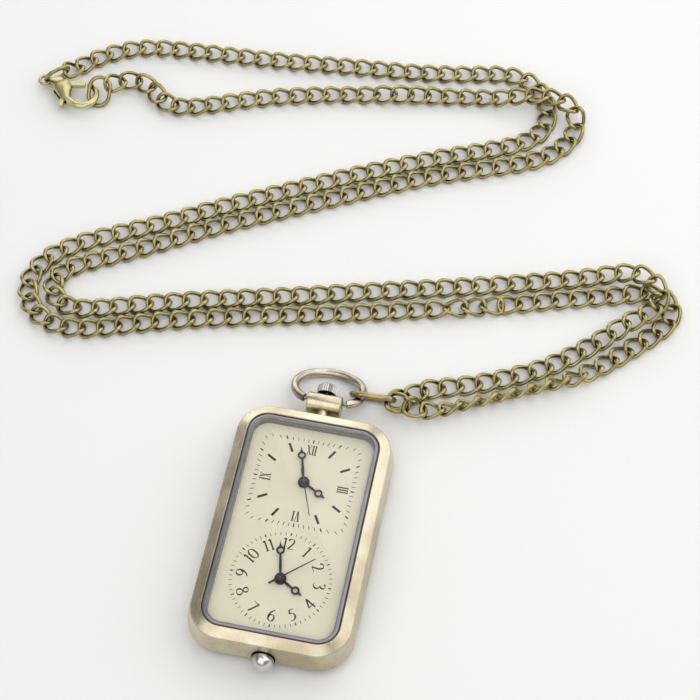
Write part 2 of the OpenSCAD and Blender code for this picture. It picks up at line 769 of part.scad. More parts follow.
// Angles of the hands at rest, clockwise from twelve
function time_of(upper) = upper ? upper_time : lower_time;
function hour_angle(upper) = 30 * time_of(upper);
function minute_angle(upper) = 360 * (time_of(upper) - floor(time_of(upper)));
function second_angle(upper) = 6 * (upper ? upper_seconds : lower_seconds);

module at_hand(upper, angle, z) {
    translate([0, upper ? upper_y : lower_y, z])
        rotate(-angle)
            children();
}

// A leaf that swells in the middle, an open eye and a fine point
module eye_hand(length, eye_y, hub, bore, swell) {
    eye_wall = 0.32;
    point_w = 0.28;
    difference() {
        union() {
            cylinder(r = hub, h = hand_t);
            linear_extrude(hand_t)
                polygon([[-swell / 3, 0], [-swell / 2, eye_y * 0.45], [-swell / 3, eye_y],
                         [swell / 3, eye_y], [swell / 2, eye_y * 0.45], [swell / 3, 0]]);
            translate([0, eye_y, 0])
                cylinder(d = eye_d, h = hand_t);
            linear_extrude(hand_t)
                polygon([[-point_w, eye_y + eye_d / 2 - 0.1], [-0.09, eye_y + eye_d / 2 + 0.5], [0, length],
                         [0.09, eye_y + eye_d / 2 + 0.5], [point_w, eye_y + eye_d / 2 - 0.1]]);
        }
        translate([0, eye_y, -1])
            cylinder(d = eye_d - 2 * eye_wall, h = 3);
        translate([0, 0, -1])
            cylinder(r = bore, h = 3);
    }
}

module hour_hand(upper) {
    color(ink) at_hand(upper, hour_angle(upper), hour_z)
        eye_hand(hour_len, hour_len - 1.45, hub_r, hour_out, 0.45);
}

module minute_hand(upper) {
    color(ink) at_hand(upper, minute_angle(upper), minute_z)
        eye_hand(minute_len, minute_len - 1.9, hub_r - 0.1, cannon_out, 0.48);
}

module second_hand(upper) {
    tip_w = 0.12;
    tail_w = 0.34;
    color(ink) at_hand(upper, second_angle(upper), second_z) difference() {
        union() {
            cylinder(r = hub_r - 0.35, h = hand_t);
            linear_extrude(hand_t * 0.7)
                polygon([[-tip_w, 0], [-tip_w / 2, second_len], [tip_w / 2, second_len], [tip_w, 0]]);
            translate([-tail_w / 2, -tail_len, 0])
                cube([tail_w, tail_len, hand_t * 0.7]);
        }
        translate([0, 0, -1])
            cylinder(r = arbor_r, h = 3);
    }
}

// Moves a flat bow or its parts to the pins, tipped down to the table
module at_bow() {
    translate([0, pivot_y, stem_z])
        rotate([-bow_tilt, 0, 0])
            children();
}

module bow() {
    lap = 2;
    color(silver) at_bow() {
        translate([0, bow_reach - bow_top_r, 0])
            rotate(bow_join)
                rotate_extrude(angle = 180 - 2 * bow_join, $fn = 64)
                    translate([bow_top_r, 0])
                        circle(d = bow_wire + 0.06, $fn = 32);
        for (side = [0, 1])
            mirror([side, 0, 0])
                translate([bow_side_x, bow_side_t, 0])
                    rotate(-bow_end)
                        rotate_extrude(angle = bow_join + bow_end + lap, $fn = 64)
                            translate([bow_side_r, 0])
                                circle(d = bow_wire, $fn = 32);
        for (side = [0, 1])
            mirror([side, 0, 0])
                translate([pendant_flat / 2 - 0.9, 0, 0])
                    rotate([0, 90, 0])
                        cylinder(d = pin_d, h = bow_end_x - pendant_flat / 2 + 1.2);
    }
}

// Oval wire ring in the XY plane, its length along X
module oval_ring(length, width, wire) {
    bend = (width - wire) / 2;
    run = (length - width) / 2;
    for (side = [0, 1])
        mirror([side, 0, 0])
            translate([run, 0, 0])
                rotate(-90)
                    rotate_extrude(angle = 180, $fn = 64)
                        translate([bend, 0])
                            circle(d = wire, $fn = 32);
    for (y = [-bend, bend])
        translate([-run, y, 0])
            rotate([0, 90, 0])
                cylinder(d = wire, h = 2 * run, $fn = 32);
}

module connecting_ring() {
    color(brass_dark) from_bow()
        translate([ring_x, ring_y, ring_z])
            rotate([90 + ring_lean, 0, ring_twist])
                oval_ring(ring_l, ring_out, ring_wire);
}

module at_clasp() {
    from_bow() translate([clasp_at[0], clasp_at[1], clasp_z])
        rotate(clasp_turn)
            children();
}

module tail_ring() {
    color(brass) from_bow()
        translate([-69.95, 92.2, 2.45])
            rotate([109, -5.5, 40.5])
                oval_ring(oval_l, oval_w, oval_wire);
}

module hook_ring() {
    color(brass) from_bow()
        translate([-60.4, 89.85, 2.05])
            rotate([5, -33.5, 89])
                oval_ring(hook_oval_l, oval_w, oval_wire);
}

module clasp_outline() {
    polygon(concat(
        [[0.95, 0.6], [3.2, 2.0]],
        arc(lever_at[0], 1.0, 1.2, 100, 0, 4),
        [[6.4, -0.6]],
        arc(hook_at[0], hook_at[1], hook_r - 0.55, 215, 245, 2),
        arc(hook_at[0], hook_at[1], hook_r + 0.5, 262, 240, 2),
        [[4.2, -2.3], [0.95, -0.6]]
    ));
}

module clasp_body() {
    color(brass) at_clasp() difference() {
        union() {
            intersection() {
                translate([0, 0, -clasp_t / 2])
                    linear_extrude(clasp_t)
                        clasp_outline();
                translate([0, -0.6, 0])
                    rotate([0, 90, 0])
                        cylinder(r = 3.2, h = 12, $fn = 64);
            }
            translate([hook_at[0], hook_at[1], 0])
                rotate(hook_from)
                    rotate_extrude(angle = hook_to - hook_from, $fn = 64)
                        translate([hook_r, 0])
                            circle(d = hook_wire, $fn = 32);
            rotate_extrude($fn = 48)
                translate([eye_r, 0])
                    circle(d = eye_wire, $fn = 24);
        }
        translate([lever_at[0] - 1.5, -4.6, -lever_t / 2 - run_gap])
            cube([3.7, 8, lever_t + 2 * run_gap]);
        translate([lever_at[0], lever_at[1], -clasp_t])
            cylinder(r = lever_pin_r, h = 2 * clasp_t);
    }
}

module clasp_lever() {
    color(brass_dark) at_clasp()
        translate([lever_at[0], lever_at[1], -lever_t / 2]) difference() {
            union() {
                cylinder(r = 1.2, h = lever_t);
                linear_extrude(lever_t)
                    polygon([[-0.5, 0.9], [3.5, 2.25], [3.75, 1.35], [0.9, 0.1]]);
                linear_extrude(lever_t)
                    polygon([[-0.3, -0.9], [1.05, -4.9], [1.75, -4.7], [0.9, -0.6]]);
                translate([1.4, -4.8, 0])
                    cylinder(r = 0.42, h = lever_t);
            }
            translate([0, 0, -1])
                cylinder(r = lever_pin_r + run_gap, h = lever_t + 2);
        }
}

module clasp_pin() {
    color(brass_dark) at_clasp()
        translate([lever_at[0], lever_at[1], -clasp_t / 2])
            cylinder(r = lever_pin_r, h = clasp_t);
}

module clasp_spring() {
    color(steel) at_clasp()
        translate([lever_at[0], lever_at[1], -0.3])
            rotate(150)
                rotate_extrude(angle = 60, $fn = 48)
                    translate([1.28, 0])
                        square([0.14, 0.6]);
}

case_frame();
back_cover();
back_gasket();
crystal_ring();
crystal();
dial();
movement_holder();
pendant();
main_plate(true);  // upper_main_plate
battery(true);  // upper_battery
battery_strap(true);  // upper_battery_strap
circuit_board(true);  // upper_circuit_board
quartz_can(true);  // upper_quartz_can
coil(true);  // upper_coil
stator(true);  // upper_stator
train_bridge(true);  // upper_train_bridge
setting_lever(true);  // upper_setting_lever
stem(true);  // upper_stem
upper_crown();
hour_wheel(true);  // upper_hour_wheel
hour_hand(true);  // upper_hour_hand
cannon_pinion(true);  // upper_cannon_pinion
minute_hand(true);  // upper_minute_hand
second_arbor(true);  // upper_second_arbor
second_hand(true);  // upper_second_hand
main_plate(false);  // lower_main_plate
battery(false);  // lower_battery
battery_strap(false);  // lower_battery_strap
circuit_board(false);  // lower_circuit_board
quartz_can(false);  // lower_quartz_can
coil(false);  // lower_coil
stator(false);  // lower_stator
train_bridge(false);  // lower_train_bridge
setting_lever(false);  // lower_setting_lever
stem(false);  // lower_stem
lower_crown();
hour_wheel(false);  // lower_hour_wheel
hour_hand(false);  // lower_hour_hand
cannon_pinion(false);  // lower_cannon_pinion
minute_hand(false);  // lower_minute_hand
second_arbor(false);  // lower_second_arbor
second_hand(false);  // lower_second_hand
bow();
connecting_ring();
links(clasp_route, 0);  // clasp_strand_1
links(clasp_route, 1);  // clasp_strand_2
links(clasp_route, 2);  // clasp_strand_3
links(clasp_route, 3);  // clasp_strand_4
links(ring_route, 0);  // ring_strand_1
links(ring_route, 1);  // ring_strand_2
links(ring_route, 2);  // ring_strand_3
links(ring_route, 3);  // ring_strand_4
tail_ring();
hook_ring();
clasp_body();
clasp_lever();
clasp_pin();
clasp_spring();
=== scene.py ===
"""Rectangular pocket watch with two dials and a doubled curb chain, dressed for its portrait."""

from __future__ import annotations

import json
import logging
import math
from dataclasses import dataclass, field
from enum import Enum
from typing import Iterable, Sequence

import bmesh
import bpy
import numpy as np
from mathutils import Matrix, Vector

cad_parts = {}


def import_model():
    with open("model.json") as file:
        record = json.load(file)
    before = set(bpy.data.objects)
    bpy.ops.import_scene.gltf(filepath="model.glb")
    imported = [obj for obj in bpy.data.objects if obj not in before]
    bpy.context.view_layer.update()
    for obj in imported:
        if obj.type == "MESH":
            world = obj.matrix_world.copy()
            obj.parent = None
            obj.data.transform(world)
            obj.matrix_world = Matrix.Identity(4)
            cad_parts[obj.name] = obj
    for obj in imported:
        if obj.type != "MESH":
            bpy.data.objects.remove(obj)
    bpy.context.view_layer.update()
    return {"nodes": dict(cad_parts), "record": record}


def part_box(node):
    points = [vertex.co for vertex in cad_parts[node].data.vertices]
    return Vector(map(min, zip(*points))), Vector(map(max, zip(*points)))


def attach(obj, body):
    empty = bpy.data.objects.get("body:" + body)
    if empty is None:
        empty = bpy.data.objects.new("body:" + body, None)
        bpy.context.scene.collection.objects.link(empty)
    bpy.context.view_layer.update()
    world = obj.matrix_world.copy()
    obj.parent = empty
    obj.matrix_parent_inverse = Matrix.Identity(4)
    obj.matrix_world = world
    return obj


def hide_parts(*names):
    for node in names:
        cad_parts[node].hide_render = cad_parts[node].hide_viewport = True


LOG = logging.getLogger("pocket_watch")
MM = 0.001
RGB = tuple[float, float, float]
Point = tuple[float, float]
Spot = tuple[float, float, float]
Station = tuple[float, float, float, float]
Face = tuple[int, ...]
Socket = bpy.types.NodeSocket
WHITE: RGB = (1.0, 1.0, 1.0)
DEGREES_PER_HOUR = 30
DEGREES_PER_MINUTE = 6


class Body(Enum):
    """Bodies of the watch that new pieces ride on."""

    CASE = "case"
    CHAIN = "chain"


class Facing(Enum):
    """Which way the top of a numeral points, as degrees of turn."""

    OUTWARD = 0
    INWARD = 180


class Twist(Enum):
    """Hand of a link's twist."""

    CLASP_END = 1
    LANES = -1


class NodeTree:
    """Adds and links the nodes of one tree."""

    def __init__(self, tree: bpy.types.NodeTree) -> None:
        """Takes the tree that the nodes go into."""
        self.tree = tree

    def feed(self, socket: Socket, value: object) -> None:
        """Links an output to an input, or sets the input's own value.

        Args:
            socket: Input to feed.
            value: Output socket, number, vector or colour.
        """
        if isinstance(value, Socket):
            self.tree.links.new(value, socket)
        elif socket.type == "RGBA":
            socket.default_value = (*value, 1)
        else:
            socket.default_value = value

    def node(
        self, kind: str, inputs: dict[str | int, object] | None = None, **settings: object
    ) -> bpy.types.Node:
        """Adds a node.

        Args:
            kind: Type name of the node.
            inputs: Values or output sockets for its inputs.
            **settings: Properties of the node.

        Returns:
            The new node.
        """
        made = self.tree.nodes.new(kind)
        for key, value in settings.items():
            setattr(made, key, value)
        for key, value in (inputs or {}).items():
            self.feed(made.inputs[key], value)
        return made

    def blend(self, factor: Socket, first: RGB | Socket, second: RGB | Socket) -> Socket:
        """Mixes two colours.

        Args:
            factor: Share of the second colour.
            first: Colour or socket at 0.
            second: Colour or socket at 1.

        Returns:
            The mixed colour socket.
        """
        mixed = self.node("ShaderNodeMix", data_type="RGBA")
        colours = [socket for socket in mixed.inputs if socket.type == "RGBA"]
        for socket, value in zip((mixed.inputs[0], *colours), (factor, first, second)):
            self.feed(socket, value)
        return next(socket for socket in mixed.outputs if socket.type == "RGBA")


class Graph(NodeTree):
    """Adds and links the nodes of one material."""

    def __init__(self, name: str) -> None:
        """Starts an empty material.

        Args:
            name: Name of the material.
        """
        self.material = bpy.data.materials.new(name)
        self.material.use_nodes = True
        super().__init__(self.material.node_tree)
        self.shader = self.tree.nodes["Principled BSDF"]
        self.coords = self.node("ShaderNodeTexCoord").outputs["Object"]

    def noise(self, scale: float, detail: float, stretch: Spot = (1.0, 1.0, 1.0)) -> Socket:
        """Gives a noise over the object's own space.

        Args:
            scale: Waves per metre.
            detail: Octaves of finer noise.
            stretch: Scale of the space along each axis.

        Returns:
            The noise's value socket.
        """
        mapped = self.node("ShaderNodeMapping", {"Vector": self.coords, "Scale": stretch})
        inputs = {"Vector": mapped.outputs[0], "Scale": scale, "Detail": detail}
        return self.node("ShaderNodeTexNoise", inputs).outputs["Fac"]

    def span(self, value: Socket, edges: Point, to: Point = (0.0, 1.0)) -> Socket:
        """Maps a value from one range to another, clamped.

        Args:
            value: Socket to map.
            edges: Start and end of the input range.
            to: Start and end of the output range.

        Returns:
            The mapped value socket.
        """
        mapped = self.node("ShaderNodeMapRange")
        for socket, number in zip(mapped.inputs, (value, *edges, *to)):
            self.feed(socket, number)
        return mapped.outputs[0]

    def bump(self, height: Socket, depth: float, before: Socket | None = None) -> Socket:
        """Adds relief.

        Args:
            height: Height socket from 0 to 1.
            depth: Depth of the relief in metres.
            before: Normal that the relief is laid over.

        Returns:
            The new normal socket.
        """
        inputs = {"Height": height, "Strength": 1.0, "Distance": depth}
        if before is not None:
            inputs["Normal"] = before
        return self.node("ShaderNodeBump", inputs).outputs[0]

    def set(self, **values: object) -> None:
        """Sets or links inputs of the main shader.

        Args:
            **values: Value or socket of each input, with _ for a space in its name.
        """
        for key, value in values.items():
            self.feed(self.shader.inputs[key.replace("_", " ")], value)


@dataclass(frozen=True)
class AgedMetal:
    """Metal with worn high spots, painted shade in its recesses, streaks and fine scratches."""

    name: str
    bright: RGB
    dull: RGB
    # painted shade: the colour that recesses and gaps between parts are darkened towards, where light is
    # occluded
    hollow: RGB
    roughness: float = 0.28
    hollow_reach: float = 1.2 * MM
    hollow_edges: Point = (0.35, 0.95)
    hollow_rays: int = 6
    patch_scale: float = 260.0
    patch_edges: Point = (0.38, 0.66)
    scratch_depth: float = 0.004 * MM
    scratch_scale: float = 14000.0
    streak_scale: float = 5200.0
    streak_edges: Point = (0.3, 0.7)
    streak: Spot = (1.0, 0.08, 1.0)
    sheen: Point = (0.75, 1.3)

    def build(self) -> bpy.types.Material:
        """Makes the metal.

        Returns:
            The finished material.
        """
        g = Graph(self.name)
        patches = g.span(g.noise(self.patch_scale, detail=4.0), self.patch_edges)
        base = g.blend(patches, self.bright, self.dull)
        reach = {"Distance": self.hollow_reach}
        # painted shade: ambient occlusion darkens recesses and gaps between parts towards the painted
        # shade colour
        shade = g.node("ShaderNodeAmbientOcclusion", reach, samples=self.hollow_rays)
        painted_shade_mask = g.span(shade.outputs["AO"], self.hollow_edges, (1.0, 0.0))
        streaks = g.noise(self.streak_scale, detail=2.0, stretch=self.streak)
        scratches = g.bump(g.noise(self.scratch_scale, detail=2.0), self.scratch_depth / 2)
        smooth, rough = (self.roughness * share for share in self.sheen)
        g.set(
            Base_Color=g.blend(painted_shade_mask, base, self.hollow),
            Metallic=1.0,
            Roughness=g.span(streaks, self.streak_edges, (smooth, rough)),
            Normal=g.bump(streaks, self.scratch_depth, scratches),
        )
        return g.material


@dataclass(frozen=True)
class SatinPaint:
    """Painted, moulded or lacquered surface with a little grain and uneven sheen."""

    name: str
    colour: RGB
    second: RGB
    roughness: float = 0.5
    metallic: float = 0.0
    cloud_scale: float = 180.0
    cloud_edges: Point = (0.35, 0.65)
    grain_scale: float = 9000.0
    grain_edges: Point = (0.3, 0.7)
    grain_depth: float = 0.002 * MM
    sheen: Point = (0.85, 1.15)

    def build(self) -> bpy.types.Material:
        """Makes the paint.

        Returns:
            The finished material.
        """
        g = Graph(self.name)
        clouds = g.span(g.noise(self.cloud_scale, detail=3.0), self.cloud_edges)
        grain = g.noise(self.grain_scale, detail=3.0)
        smooth, rough = (self.roughness * share for share in self.sheen)
        g.set(
            Base_Color=g.blend(clouds, self.colour, self.second),
            Metallic=self.metallic,
            Roughness=g.span(grain, self.grain_edges, (smooth, rough)),
            Normal=g.bump(grain, self.grain_depth),
        )
        return g.material


@dataclass(frozen=True)
class ClearGlass:
    """Clear crystal that only shows where it mirrors a light."""

    name: str
    ior: float = 1.45
    polish: float = 0.02
    smear_scale: float = 300.0
    smear_edges: Point = (0.4, 0.7)
    mirrored: Point = (0.35, 0.5)

    def build(self) -> bpy.types.Material:
        """Makes the glass.

        Returns:
            The finished material.
        """
        g = Graph(self.name)
        mirror = g.node("ShaderNodeFresnel", {"IOR": self.ior}).outputs[0]
        clear = g.node("ShaderNodeBsdfTransparent").outputs[0]
        gloss = g.node("ShaderNodeBsdfGlossy", {"Roughness": self.polish}).outputs[0]
        smear = g.span(g.noise(self.smear_scale, detail=2.0), self.smear_edges, self.mirrored)
        share = g.node("ShaderNodeMath", {0: mirror, 1: smear}, operation="MULTIPLY").outputs[0]
        mixed = g.node("ShaderNodeMixShader", {0: share, 1: clear, 2: gloss}).outputs[0]
        g.feed(g.tree.nodes["Material Output"].inputs["Surface"], mixed)
        return g.material


FINISHES: dict[str, AgedMetal | SatinPaint | ClearGlass] = {finish.name: finish for finish in (
    # the third colour of each metal is painted shade for its recesses and the gaps between parts
    AgedMetal(
        "case_brass", (0.66, 0.605, 0.45), (0.45, 0.385, 0.265), (0.12, 0.085, 0.045),
        roughness=0.3, hollow_reach=1.3 * MM, patch_scale=120.0, scratch_depth=0.0009 * MM,
    ),
    AgedMetal(
        "chain_brass", (0.43, 0.365, 0.155), (0.30, 0.245, 0.095), (0.025, 0.02, 0.008),
        roughness=0.24, hollow_reach=0.9 * MM, patch_scale=420.0, scratch_depth=0.0006 * MM,
    ),
    AgedMetal(
        "pendant_brass", (0.62, 0.57, 0.41), (0.43, 0.375, 0.25), (0.1, 0.07, 0.03),
        roughness=0.26, hollow_reach=1.0 * MM, patch_scale=220.0, scratch_depth=0.0002 * MM,
        streak=(0.3, 0.3, 0.3),
    ),
    AgedMetal(
        "clasp_brass", (0.60, 0.555, 0.29), (0.47, 0.41, 0.19), (0.06, 0.05, 0.02),
        roughness=0.3, hollow_reach=0.7 * MM, patch_scale=300.0, scratch_depth=0.0004 * MM,
    ),
    AgedMetal(
        "ring_brass", (0.45, 0.365, 0.19), (0.31, 0.24, 0.115), (0.05, 0.035, 0.015),
        roughness=0.3, hollow_reach=0.8 * MM, patch_scale=400.0, scratch_depth=0.0008 * MM,
    ),
    AgedMetal(
        "bow_metal", (0.56, 0.515, 0.41), (0.28, 0.23, 0.165), (0.08, 0.055, 0.03),
        roughness=0.2, hollow_reach=1.0 * MM, patch_scale=240.0, scratch_depth=0.0008 * MM,
    ),
    AgedMetal(
        "bright_metal", (0.66, 0.64, 0.62), (0.5, 0.48, 0.46), (0.06, 0.055, 0.055),
        roughness=0.2, hollow_reach=0.35 * MM, patch_scale=300.0, scratch_depth=0.001 * MM,
    ),
    AgedMetal("steel", (0.62, 0.63, 0.65), (0.55, 0.55, 0.57), (0.2, 0.2, 0.2), roughness=0.3),
    AgedMetal("gilt", (0.85, 0.68, 0.33), (0.75, 0.58, 0.27), (0.25, 0.17, 0.07), roughness=0.25),
    AgedMetal("copper", (0.75, 0.36, 0.18), (0.66, 0.3, 0.14), (0.2, 0.07, 0.03), roughness=0.35),
    SatinPaint("grey_ring", (0.27, 0.26, 0.28), (0.22, 0.21, 0.23), roughness=0.3, metallic=0.6),
    SatinPaint("dial", (0.78, 0.75, 0.575), (0.745, 0.715, 0.555), roughness=0.62),
    SatinPaint("black_lacquer", (0.012, 0.011, 0.008), (0.02, 0.018, 0.013), roughness=0.35),
    SatinPaint("dial_ink", (0.022, 0.02, 0.012), (0.035, 0.03, 0.018), roughness=0.6),
    SatinPaint("board", (0.05, 0.2, 0.1), (0.04, 0.16, 0.08), roughness=0.45),
    SatinPaint("black_plastic", (0.03, 0.03, 0.032), (0.04, 0.04, 0.042)),
    SatinPaint("white_plastic", (0.8, 0.8, 0.77), (0.75, 0.75, 0.72)),
    SatinPaint("rubber", (0.03, 0.03, 0.03), (0.045, 0.045, 0.045), roughness=0.8),
    ClearGlass("crystal"),
)}


class Wardrobe:
    """Builds each finish once and puts it on objects."""

    def __init__(self) -> None:
        """Starts with no finish built."""
        self.built: dict[str, bpy.types.Material] = {}

    def get(self, name: str) -> bpy.types.Material:
        """Gives a finish, made on first use.

        Args:
            name: Name of the finish.

        Returns:
            The finish's material.
        """
        if name not in self.built:
            self.built[name] = FINISHES[name].build()
        return self.built[name]

    def dress(self, obj: bpy.types.Object, name: str) -> None:
        """Gives an object one finish all over.

        Args:
            obj: Object to dress.
            name: Name of the finish.
        """
        obj.data.materials.clear()
        obj.data.materials.append(self.get(name))


def mesh_object(
    name: str, vertices: Iterable[Sequence[float]], faces: Iterable[Face], smooth: bool = False
) -> bpy.types.Object:
    """Makes a mesh object in the scene.

    Args:
        name: Name of the piece.
        vertices: Points in metres.
        faces: Point numbers of each face.
        smooth: Whether the faces shade smoothly.

    Returns:
        The new object.
    """
    mesh = bpy.data.meshes.new(name)
    mesh.from_pydata([tuple(v) for v in vertices], [], list(faces))
    mesh.validate()
    if smooth:
        mesh.shade_smooth()
    obj = bpy.data.objects.new(name, mesh)
    bpy.context.scene.collection.objects.link(obj)
    return obj


def skin(rings: int, sides: int, first: int = 0, closed: bool = False, flip: bool = False) -> list[Face]:
    """Covers rings of points that follow each other, and caps the ends of an open row.

    Args:
        rings: Number of rings.
        sides: Points of each ring.
        first: Number of the first point.
        closed: Whether the last ring meets the first.
        flip: Whether the rings run the other way round.

    Returns:
        The faces, as point numbers.
    """
    faces: list[Face] = []
    for i in range(rings if closed else rings - 1):
        near, far = first + i * sides, first + (i + 1) % rings * sides
        for k in range(sides):
            step = (k + 1) % sides
            turn = (near + step, far + step, far + k)
            faces.append((near + k, *(reversed(turn) if flip else turn)))
    if not closed:
        end = first + (rings - 1) * sides
        start_cap, end_cap = range(first, first + sides), range(end, end + sides)
        faces.append(tuple(start_cap if flip else reversed(start_cap)))
        faces.append(tuple(reversed(end_cap) if flip else end_cap))
    return faces


def curve(stops: Iterable[Sequence[float]], steps: int) -> list[tuple[float, ...]]:
    """Runs a smooth curve from the second of four stops up to the third.

    Args:
        stops: The four stops.
        steps: Number of points.

    Returns:
        The curve's points, without its last one.
    """
    a, b, c, d = (Vector(stop) for stop in stops)
    points = []
    for k in range(steps):
        t = k / steps
        v = 2 * b + (c - a) * t + (2 * a - 5 * b + 4 * c - d) * t * t + (3 * b - a - 3 * c + d) * t ** 3
        points.append(tuple(0.5 * v))
    return points


def heading(path: Sequence[Sequence[float]], i: int) -> Vector:
    """Finds which way a flat path runs at one of its points.

    Args:
        path: Points with X and Y first.
        i: Number of the point.

    Returns:
        The direction, one long.
    """
    before, after = path[max(i - 1, 0)], path[min(i + 1, len(path) - 1)]
    return Vector((after[0] - before[0], after[1] - before[1])).normalized()


@dataclass
class CurbLinks:
    """Round-wire curb links that take the place of the plain ones, in metres."""

    length: float = 4.38 * MM
    width: float = 3.3 * MM
    rise: float = 0.7 * MM
    wire: float = 0.385 * MM
    squareness: float = 0.92
    along: int = 36
    around: int = 10
    weld: float = 0.0001 * MM
    hooked_strand: str = "clasp_strand_1"
    hooked_end: Spot = (-62 * MM, 94 * MM, 2 * MM)
    hooked_links: int = 4

    def loop(self, twist: Twist) -> np.ndarray:
        """Works out the middle line of one link in its own frame.

        Args:
            twist: The way that the link is twisted.

        Returns:
            The line's points, as rows.
        """
        a = np.linspace(0, 2 * np.pi, self.along, endpoint=False)
        c, s = np.cos(a), np.sin(a)
        return np.stack([
            self.length / 2 * np.sign(c) * np.abs(c) ** self.squareness,
            self.width / 2 * np.sign(s) * np.abs(s) ** self.squareness,
            twist.value * self.rise * np.sin(2 * a),
        ], 1)

    def link(self, twist: Twist) -> np.ndarray:
        """Works out the round wire of one link in its own frame.

        Args:
            twist: The way that the link is twisted.

        Returns:
            The wire's points, ring after ring, as rows.
        """
        middle = self.loop(twist)
        tangent = np.roll(middle, -1, 0) - np.roll(middle, 1, 0)
        tangent /= np.linalg.norm(tangent, axis=1)[:, None]
        side = np.cross(tangent, [0, 0, 1])
        side /= np.linalg.norm(side, axis=1)[:, None]
        top = np.cross(side, tangent)
        b = np.linspace(0, 2 * np.pi, self.around, endpoint=False)[None, :, None]
        rings = middle[:, None] + self.wire * (np.cos(b) * side[:, None] + np.sin(b) * top[:, None])
        return rings.reshape(-1, 3)

    def places(self, node: bpy.types.Object) -> list[tuple[np.ndarray, np.ndarray]]:
        """Finds where the links of a strand lie.

        Args:
            node: Strand of plain links.

        Returns:
            Middle and axes, as rows, of each link.
        """
        bm = bmesh.new()
        bm.from_mesh(node.data)
        bmesh.ops.remove_doubles(bm, verts=bm.verts, dist=self.weld)
        bm.verts.ensure_lookup_table()
        seen: set[int] = set()
        found = []
        for start in bm.verts:
            if start.index in seen:
                continue
            island, todo = [], [start]
            seen.add(start.index)
            while todo:
                vertex = todo.pop()
                island.append(tuple(vertex.co))
                for edge in vertex.link_edges:
                    other = edge.other_vert(vertex)
                    if other.index not in seen:
                        seen.add(other.index)
                        todo.append(other)
            points = np.array(island)
            middle = points.mean(0)
            _, axes = np.linalg.eigh(np.cov((points - middle).T))
            x, y = axes[:, 2], axes[:, 1]
            found.append((middle, np.stack([x, y, np.cross(x, y)])))
        bm.free()
        return found

    def hooked(self, name: str, places: list[tuple[np.ndarray, np.ndarray]]) -> set[int]:
        """Picks the links next to the clasp, which are threaded with the other twist.

        Args:
            name: Name of the strand.
            places: Middle and axes of its links.

        Returns:
            Numbers of the links.
        """
        if name != self.hooked_strand:
            return set()
        gaps = [float(np.linalg.norm(middle - np.array(self.hooked_end))) for middle, _ in places]
        return set(sorted(range(len(gaps)), key=gaps.__getitem__)[: self.hooked_links])

    def build(self, nodes: dict[str, bpy.types.Object], wardrobe: Wardrobe) -> list[bpy.types.Object]:
        """Replaces every strand.

        Args:
            nodes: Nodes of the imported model.
            wardrobe: Finishes.

        Returns:
            The new strands.
        """
        shapes = {twist: self.link(twist) for twist in Twist}
        made = []
        for name in sorted(n for n in nodes if "_strand_" in n):
            places = self.places(nodes[name])
            hooked = self.hooked(name, places)
            points: list[np.ndarray] = []
            faces: list[Face] = []
            for number, (middle, axes) in enumerate(places):
                shape = shapes[Twist.CLASP_END if number in hooked else Twist.LANES]
                faces += skin(self.along, self.around, len(points) * len(shape), closed=True)
                points.append(middle + shape @ axes)
            obj = mesh_object(f"{name}_links", np.concatenate(points), faces, smooth=True)
            wardrobe.dress(obj, "chain_brass")
            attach(obj, Body.CHAIN.value)
            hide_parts(name)
            made.append(obj)
        return made


@dataclass
class PendantBlock:
    """Flat-topped pendant block on its round neck, in millimetres."""

    width: float = 6.4
    height: float = 4.5
    middle_z: float = 3.6
    near_y: float = 24.9
    far_y: float = 28.4
    corner: float = 1.65
    corner_steps: int = 6
    corner_shrink: float = 0.6
    fillet: float = 0.3
    fillet_steps: int = 4
    neck_r: float = 1.1
    neck_y: float = 23.0
    neck_sunk: float = 0.2
    neck_sides: int = 32
    sharp: float = 40.0

    def outline(self, inset: float) -> list[Point]:
        """Draws the block's side outline, with round corners.

        Args:
            inset: How far the outline is drawn in.

        Returns:
            Points along Y and Z.
        """
        half_y, half_z = (self.far_y - self.near_y) / 2 - inset, self.height / 2 - inset
        r = self.corner - inset * self.corner_shrink
        y, z = half_y - r, half_z - r
        middle = (self.near_y + self.far_y) / 2
        points = []
        for corner_y, corner_z, turn in ((y, z, 0), (-y, z, 90), (-y, -z, 180), (y, -z, 270)):
            for step in range(self.corner_steps + 1):
                a = math.radians(turn + 90 * step / self.corner_steps)
                points.append((
                    middle + corner_y + r * math.cos(a),
                    self.middle_z + corner_z + r * math.sin(a),
                ))
        return points

    def block(self) -> tuple[list[Spot], list[Face]]:
        """Stretches the outline across the watch and rounds its two ends.

        Returns:
            Points and faces.
        """
        ends: list[Point] = []
        for step in range(self.fillet_steps + 1):
            a = math.radians(90 * step / self.fillet_steps)
            inset = self.fillet * (1 - math.sin(a))
            ends.append((self.fillet * (1 - math.cos(a)) - self.width / 2, inset))
        ends += [(-x, inset) for x, inset in reversed(ends)]
        points = [(x, y, z) for x, inset in ends for y, z in self.outline(inset)]
        return points, skin(len(ends), len(self.outline(0)))

    def neck(self, first: int) -> tuple[list[Spot], list[Face]]:
        """Makes the round neck between case and block.

        Args:
            first: Number of its first point.

        Returns:
            Points and faces.
        """
        points = []
        for y in (self.neck_y, self.near_y + self.neck_sunk):
            for k in range(self.neck_sides):
                a = 2 * math.pi * k / self.neck_sides
                points.append((self.neck_r * math.cos(a), y, self.middle_z + self.neck_r * math.sin(a)))
        return points, skin(2, self.neck_sides, first, flip=True)

    def build(self, wardrobe: Wardrobe) -> bpy.types.Object:
        """Makes the pendant in place of the plain one.

        Args:
            wardrobe: Finishes.

        Returns:
            The pendant.
        """
        points, faces = self.block()
        neck_points, neck_faces = self.neck(len(points))
        metres = [(x * MM, y * MM, z * MM) for x, y, z in points + neck_points]
        obj = mesh_object("pendant_block", metres, faces + neck_faces, smooth=True)
        obj.data.set_sharp_from_angle(angle=math.radians(self.sharp))
        wardrobe.dress(obj, "pendant_brass")
        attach(obj, Body.CASE.value)
        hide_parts("pendant")
        return obj


